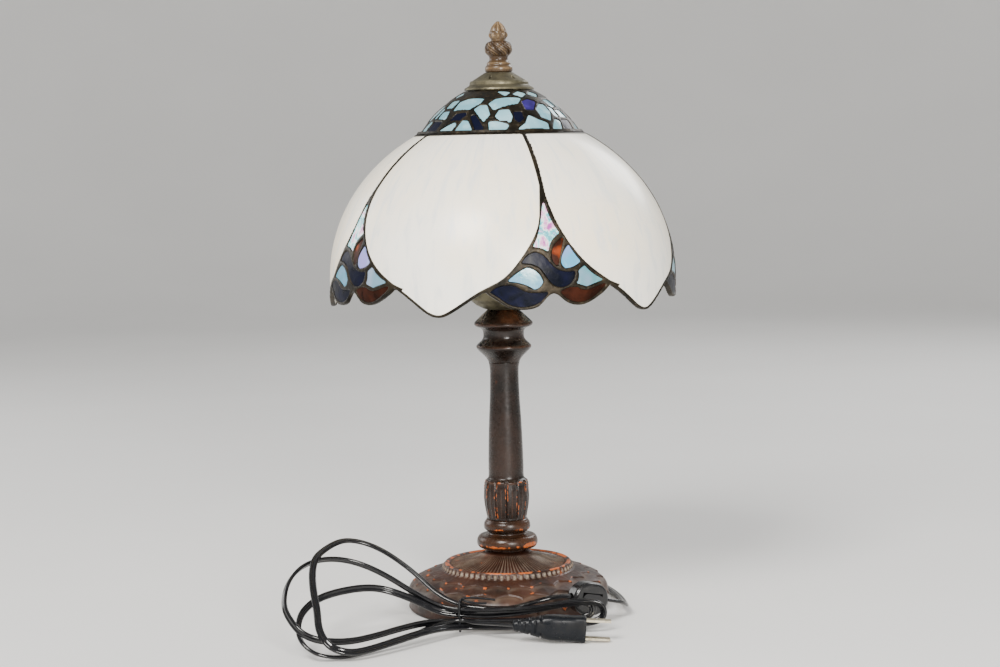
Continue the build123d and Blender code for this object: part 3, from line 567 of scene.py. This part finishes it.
# ---- finial -------------------------------------------------------------------------------------
def finial_relief(azimuth, radius, height, run):
    lift = 0.0 * azimuth
    rub_and_sheen = 0.30 + 0.0 * azimuth
    if 405.5 < height < 417.0:
        body = rise(height, 406.0, 408.2) * (1 - rise(height, 415.2, 416.8))
        lean = azimuth + (height - 404) * 0.085
        place = across_unit(lean, 7)
        vein = np.cos(across_unit(lean, 7) * 2 * math.pi * 3 + (height - 404) * 1.1)
        lift = lift - body * (1.1 * hump(np.abs(place) - 0.5, 0.13) + 0.30 * (0.5 - 0.5 * vein))
        rub_and_sheen = body * (0.75 * hump(place, 0.42) * (0.45 + 0.55 * vein))
    elif 417.0 < height < 424.2:
        collar = hump(height - 421.2, 2.8)
        knob = hump(across_unit(azimuth, 9), 0.40)
        lift = lift - collar * 1.1 * (1 - knob)
        rub_and_sheen = 0.25 + 0.7 * collar * knob
    elif height >= 424.2:
        ridge = 0.5 + 0.5 * np.cos(8 * azimuth + 0.06 * (height - 424))
        lift = lift - 0.75 * (1 - ridge) * (1 - rise(height, 429.6, 431.2))
        rub_and_sheen = 0.15 + 0.75 * ridge
    elif height < 403:
        rub_and_sheen = 0.12 + 0.45 * hump(height - 397.4, 1.4) + 0.45 * hump(height - 401.2, 1.1)
    else:
        rub_and_sheen = 0.0
    return lift, {"rub_and_sheen": rub_and_sheen, "wear": 0.0, "fleck": 0.25}


FINIAL_OUTSIDE = [(0.15, 431.65), (1.4, 431.2), (3.2, 429.4), (4.9, 427.2), (5.9, 424.8), (6.4, 423.4),
                  (7.0, 422.0), (6.9, 420.6), (5.7, 418.9), (5.1, 417.8), (6.4, 417.0), (8.2, 416.2),
                  (9.5, 414.2), (10.1, 411.6), (9.8, 409.4), (8.4, 407.4), (7.0, 406.0), (6.7, 404.6),
                  (6.8, 403.4), (7.6, 402.3), (8.6, 401.4), (8.7, 400.2), (9.0, 399.5), (9.8, 398.6),
                  (10.1, 397.0), (9.9, 395.4), (9.4, 394.75)]
finial = lathe("finial_cast", FINIAL_OUTSIDE, [(3.26, 394.75), (3.26, 412.5), (0.15, 412.5)], 216,
               finial_relief, COPPER, 0.3)
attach(finial, "finial")
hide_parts("finial")


# ---- soldered lead ------------------------------------------------------------------------------
def soldered(node_name, name, voxel):
    """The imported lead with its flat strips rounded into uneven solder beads."""
    obj = bpy.data.objects.new(name, nodes[node_name].data.copy())
    bpy.context.scene.collection.objects.link(obj)
    remesh = obj.modifiers.new("remesh", "REMESH")
    remesh.mode = "VOXEL"
    remesh.voxel_size = voxel
    relax = obj.modifiers.new("relax", "SMOOTH")
    relax.factor = 0.5
    relax.iterations = 6
    baked = bpy.data.meshes.new_from_object(obj.evaluated_get(bpy.context.evaluated_depsgraph_get()))
    obj.modifiers.clear()
    obj.data = baked
    baked.polygons.foreach_set("use_smooth", [True] * len(baked.polygons))
    dress(obj, SOLDER)
    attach(obj, SHADE)
    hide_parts(node_name)


soldered("lead_came_dome", "solder_dome", 0.0007)
soldered("lead_came_crown", "solder_crown", 0.0006)
dress(nodes["crown_ring"], SOLDER)


# ---- cords --------------------------------------------------------------------------------------
FLAT_WIDTH = 5.2
LEAD_IN = [(19.2, 71.6, 9.0), (22.3, 83.3, 8.8), (29.3, 90.7, 8.0), (38.9, 93.8, 6.8), (48.9, 92.0, 5.4),
           (56.8, 85.6, 4.2), (63.4, 73.2, 3.4), (71.6, 52.8, 2.9), (79.0, 30.0, 2.8), (83.6, 8.5, 2.8),
           (85.6, -12.0, 3.0), (85.5, -31.0, 5.2), (84.6, -41.0, 8.0), (81.3, -49.4, 11.6),
           (76.6, -55.0, 13.8), (70.2, -59.1, 15.7)]
SWITCH_LINK = [(42.9, -74.8, 22.3), (35.6, -79.0, 23.4), (25.8, -82.4, 22.4), (12.5, -83.6, 19.0),
               (2.0, -84.0, 16.6), (-10.0, -85.2, 16.8), (-22.0, -86.8, 18.6), (-34.0, -88.2, 20.6)]
LOOP_PLACE = Vector((-34.0, -90.5, 13.0))
LOOP_ALONG = Vector((-0.941, -0.217, 0.260))
LOOP_ACROSS = Vector((-0.054, 0.853, 0.518))
LOOP_NORMAL = Vector((0.335, -0.474, 0.815))
# Each loop of the hank as (along, across) in its leaning plane, from the tie out and back.
LOOP_ONE = [(16, 15), (34, 32), (53, 45), (68, 51), (82, 51), (91, 46), (100, 36), (107, 25), (109, 10),
            (108, -8), (105, -26), (104, -44), (99, -55), (93, -60), (82, -61), (68, -54), (45, -38),
            (21, -20)]
LOOP_TWO = [(16, 5), (35, 15), (53, 26), (68, 32), (82, 34), (95, 32), (107, 26), (117, 16), (124, 2),
            (127, -12), (127, -26), (123, -36), (116, -46), (107, -50), (97, -50), (81, -46), (63, -36),
            (45, -24), (24, -12)]
LOOP_THREE = [(16, 2), (31, 10), (49, 16), (62, 16), (76, 11), (92, 2), (103, -7), (111, -18), (115, -28),
              (116, -40), (114, -50), (108, -57), (100, -60), (88, -59), (74, -52), (53, -38), (31, -22),
              (14, -8)]
FOLD_ONE = [(-34, -93.4, 6.4), (-14, -93.8, 5.8), (10, -93.8, 6.0), (34, -93.6, 6.6), (52, -93.4, 7.2),
            (62, -93.3, 8.4), (66.6, -93.2, 12.2), (66.2, -93.2, 18.4), (61, -93.2, 22.0), (50, -93.3, 22.0),
            (32, -93.3, 20.0), (8, -93.3, 17.6), (-14, -93.2, 17.0), (-34, -93.2, 17.4)]
FOLD_TWO = [(-34, -88.6, 8.4), (-14, -88.8, 8.0), (8, -89.0, 8.2), (28, -89.0, 8.6), (46, -89.0, 9.2),
            (55, -89.0, 10.6), (59.2, -89.0, 14.2), (58.6, -89.0, 19.0), (53, -89.0, 21.6), (42, -89.0, 20.8),
            (26, -89.0, 18.0), (6, -89.0, 14.6), (-14, -88.8, 13.2), (-34, -88.6, 14.2)]
PLUG_TAIL = [(-34.0, -94.4, 11.8), (-26.0, -98.8, 10.6), (-21.5, -102.2, 10.8), (-14.0, -108.4, 11.8),
             (-6.5, -115.2, 12.9), (4.2, -119.6, 12.9)]


def hank_loop(points, lift):
    """Loop points in the row frame; lift moves a loop off its neighbours, towards the viewer."""
    return [tuple(LOOP_PLACE + LOOP_ALONG * a + LOOP_ACROSS * c + LOOP_NORMAL * lift * min(1.0, a / 45))
            for a, c in points]


def flat_cord(name, points):
    """Flat twin flex on one NURBS spline: two round cores joined by a thin web."""
    section = bpy.data.curves.new(name + "_section", "CURVE")
    edge = section.splines.new("POLY")
    half = FLAT_WIDTH / 4
    corners = []
    for side in (1, -1):
        for n in range(9):
            angle = math.radians(-140 + 35 * n) if side == 1 else math.radians(40 + 35 * n)
            corners.append((side * half + half * math.cos(angle), half * math.sin(angle)))
    edge.points.add(len(corners) - 1)
    for point, (x, y) in zip(edge.points, corners):
        point.co = (x * MM, y * MM, 0, 1)
    edge.use_cyclic_u = True
    shape = bpy.data.objects.new(name + "_section", section)
    curve = bpy.data.curves.new(name, "CURVE")
    curve.dimensions = "3D"
    curve.resolution_u = 8
    curve.twist_mode = "MINIMUM"
    curve.bevel_mode = "OBJECT"
    curve.bevel_object = shape
    curve.use_fill_caps = True
    spline = curve.splines.new("NURBS")
    spline.points.add(len(points) - 1)
    for point, (x, y, z) in zip(spline.points, points):
        point.co = (x * MM, y * MM, z * MM, 1)
    spline.order_u = 3
    spline.use_endpoint_u = True
    obj = bpy.data.objects.new(name, curve)
    bpy.context.scene.collection.objects.link(obj)
    curve.materials.append(CORD_BLACK)
    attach(obj, STAND)
    return obj


lead_in = flat_cord("flex_lead_in", LEAD_IN)
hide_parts("cord_lead_in")

HANK = (SWITCH_LINK + hank_loop(LOOP_ONE, 4.2) + FOLD_ONE + hank_loop(LOOP_TWO, 0.0) + FOLD_TWO
        + hank_loop(LOOP_THREE, -4.0) + PLUG_TAIL)
hank = flat_cord("flex_hank", HANK)
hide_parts("cord_hank", "cord_switch_link", "cord_plug_tail")


# ---- twist tie, plug, grommet -------------------------------------------------------------------
def wire(name, points, radius, look):
    curve = bpy.data.curves.new(name, "CURVE")
    curve.dimensions = "3D"
    curve.bevel_depth = radius * MM
    curve.bevel_resolution = 4
    curve.resolution_u = 10
    curve.use_fill_caps = True
    spline = curve.splines.new("NURBS")
    spline.points.add(len(points) - 1)
    for point, (x, y, z) in zip(spline.points, points):
        point.co = (x * MM, y * MM, z * MM, 1)
    spline.order_u = 3
    spline.use_endpoint_u = True
    obj = bpy.data.objects.new(name, curve)
    bpy.context.scene.collection.objects.link(obj)
    curve.materials.append(look)
    return obj


TIE_ROUTE = [(-9.5, -91.4, 24.4), (-20.0, -90.4, 25.8), (-30.0, -89.8, 26.2), (-33.6, -90.6, 25.0),
             (-34.6, -95.4, 24.2), (-34.8, -96.4, 14.0), (-34.6, -95.8, 3.4), (-34.2, -91.0, 2.4),
             (-33.8, -86.4, 3.2), (-33.6, -85.6, 14.0), (-33.8, -86.4, 23.6), (-33.0, -90.6, 25.0),
             (-29.0, -92.8, 23.6), (-20.0, -93.6, 22.4), (-15.5, -93.4, 22.6)]
TIE_RADIUS = 0.75
tie = wire("tie_wire", TIE_ROUTE, TIE_RADIUS, PLUG_BLACK)
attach(tie, STAND)
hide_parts("twist_tie")


PLUG_CENTRE = (39.0, -120.0, 10.4)
PLUG_DIP = math.radians(4)
# The plug along X from its middle: (place, half width, half height, squareness)
PLUG_SHAPE = [(-36.6, 2.6, 2.4, 2.0), (-36.3, 3.4, 3.3, 2.0), (-35.0, 3.8, 4.1, 2.1), (-30.0, 4.4, 5.0, 2.2),
              (-24.0, 5.1, 6.2, 2.4), (-19.0, 5.8, 7.3, 2.6), (-14.0, 6.4, 8.4, 2.9), (-10.0, 6.7, 8.8, 3.2),
              (-3.0, 6.6, 8.8, 3.5), (5.0, 6.5, 8.7, 3.7), (10.0, 6.8, 9.0, 4.2), (12.4, 6.9, 9.1, 4.6),
              (13.2, 6.7, 8.9, 4.8), (13.55, 6.2, 8.4, 4.8)]


def plug_mesh(around=120):
    """Moulded plug: slotted strain relief swelling into the grip, and a flat face."""
    angle = np.arange(around) * 2 * math.pi / around
    c, s = np.cos(angle), np.sin(angle)
    rows = np.array(smooth_line(PLUG_SHAPE, 0.35))
    verts = []
    for x, wide, high, power in rows:
        band = (x + 36.0) / 3.7
        groove = hump(band - round(band), 0.26) * rise(x, -35.8, -34.4) * (1 - rise(x, -15.6, -14.6))
        bridge = rise(np.cos(3 * angle + math.pi * (round(band) % 2)), 0.35, 0.7)
        size = 1 - 0.16 * groove * (1 - bridge)
        verts.append(np.stack([np.full(around, x), np.sign(c) * np.abs(c) ** (2 / power) * wide * size,
                               np.sign(s) * np.abs(s) ** (2 / power) * high * size], axis=1) * MM)
    faces = wrap(len(rows), around, False)
    last = (len(rows) - 1) * around
    faces += [tuple(range(around)), tuple(last + n for n in reversed(range(around)))]
    return mesh_object("plug_moulding", np.concatenate(verts), faces, PLUG_BLACK)


plug = plug_mesh()
plug.location = [c * MM for c in PLUG_CENTRE]
plug.rotation_euler = (0, PLUG_DIP, 0)
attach(plug, STAND)
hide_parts("plug_body")


# ---- felt ---------------------------------------------------------------------------------------
def felt_pad():
    """Glued felt disc, its edge slightly rounded."""
    around = 160
    profile = [(0.02, 0.05), (20, 0.0), (50, 0.0), (71.5, 0.0), (73.0, 0.15), (73.4, 0.6), (73.0, 1.05),
               (71.5, 1.18), (50, 1.18), (20, 1.18), (0.02, 1.18)]
    angle = np.arange(around) * 2 * math.pi / around
    verts = [np.stack([r * MM * np.sin(angle), -r * MM * np.cos(angle), np.full(around, z * MM)], axis=1)
             for r, z in reversed(profile)]
    return mesh_object("felt_pad", np.concatenate(verts), wrap(len(profile), around, True), FELT)


felt = felt_pad()
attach(felt, STAND)
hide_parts("base_felt")


# ---- floor, lights, camera ----------------------------------------------------------------------
floor_look = Look("studio_floor", Roughness=0.6)
floor_look.colour(floor_look.ramp(floor_look.noise(3, 2), (0.3, (0.80, 0.795, 0.78)),
                                  (0.7, (0.83, 0.825, 0.81))))
# A flat disc that bends up into a rim, so every view has the same plain backdrop. Metres.
FLAT_RADIUS = 2.6
BOWL_BEND = 1.6
BOWL_SIDES = 96
BOWL_STEPS = 16
bowl_rows = [(FLAT_RADIUS, 0.0)]
for n in range(1, BOWL_STEPS + 1):
    bend = n / BOWL_STEPS * math.pi / 2
    bowl_rows.append((FLAT_RADIUS + BOWL_BEND * math.sin(bend), BOWL_BEND * (1 - math.cos(bend))))
bowl_turns = [n / BOWL_SIDES * 2 * math.pi for n in range(BOWL_SIDES)]
bowl_verts = [(r * math.cos(turn), r * math.sin(turn), z) for r, z in bowl_rows for turn in bowl_turns]
bowl_faces = wrap(len(bowl_rows), BOWL_SIDES, False) + [tuple(range(BOWL_SIDES))]
floor = mesh_object("studio_floor", bowl_verts, bowl_faces, floor_look.material)

WORLD_GREY = 0.88
WORLD_STRENGTH = 0.5
world = bpy.data.worlds.new("studio")
world.use_nodes = True
world.node_tree.nodes["Background"].inputs[0].default_value = (WORLD_GREY, WORLD_GREY, WORLD_GREY, 1)
world.node_tree.nodes["Background"].inputs[1].default_value = WORLD_STRENGTH
bpy.context.scene.world = world


def softbox(name, place, target, width, height, power, colour=(1, 1, 1)):
    data = bpy.data.lights.new(name, "AREA")
    data.shape = "RECTANGLE"
    data.size = width
    data.size_y = height
    data.energy = power
    data.color = colour
    light = bpy.data.objects.new(name, data)
    light.location = place
    light.rotation_euler = (Vector(target) - Vector(place)).to_track_quat("-Z", "Y").to_euler()
    bpy.context.scene.collection.objects.link(light)


softbox("key", (-0.8, -1.6, 1.7), (0, 0, 0.22), 0.8, 0.8, 72, (1.0, 0.975, 0.94))
softbox("front", (0.6, -1.9, 0.7), (0, 0, 0.2), 0.5, 0.5, 44, (1.0, 0.97, 0.93))
softbox("rim", (-1.5, 0.9, 0.8), (0, 0, 0.2), 0.8, 0.8, 8)
softbox("back", (1.1, 1.5, 1.3), (0, 0, 0.2), 0.8, 0.8, 16)

CAMERA_PLACE = (-0.00265, -1.470, 0.3382)
CAMERA_PITCH = math.radians(90 - 5.24)
CAMERA_ROLL = math.radians(-1.06)
CAMERA_LENS = 72.0
SENSOR_WIDTH = 36.0
lens = bpy.data.cameras.new("camera")
lens.lens = CAMERA_LENS
lens.sensor_width = SENSOR_WIDTH
camera = bpy.data.objects.new("camera", lens)
camera.matrix_world = (Matrix.Translation(CAMERA_PLACE) @ Matrix.Rotation(CAMERA_PITCH, 4, "X")
                       @ Matrix.Rotation(CAMERA_ROLL, 4, "Z"))
bpy.context.scene.collection.objects.link(camera)
bpy.context.scene.camera = camera
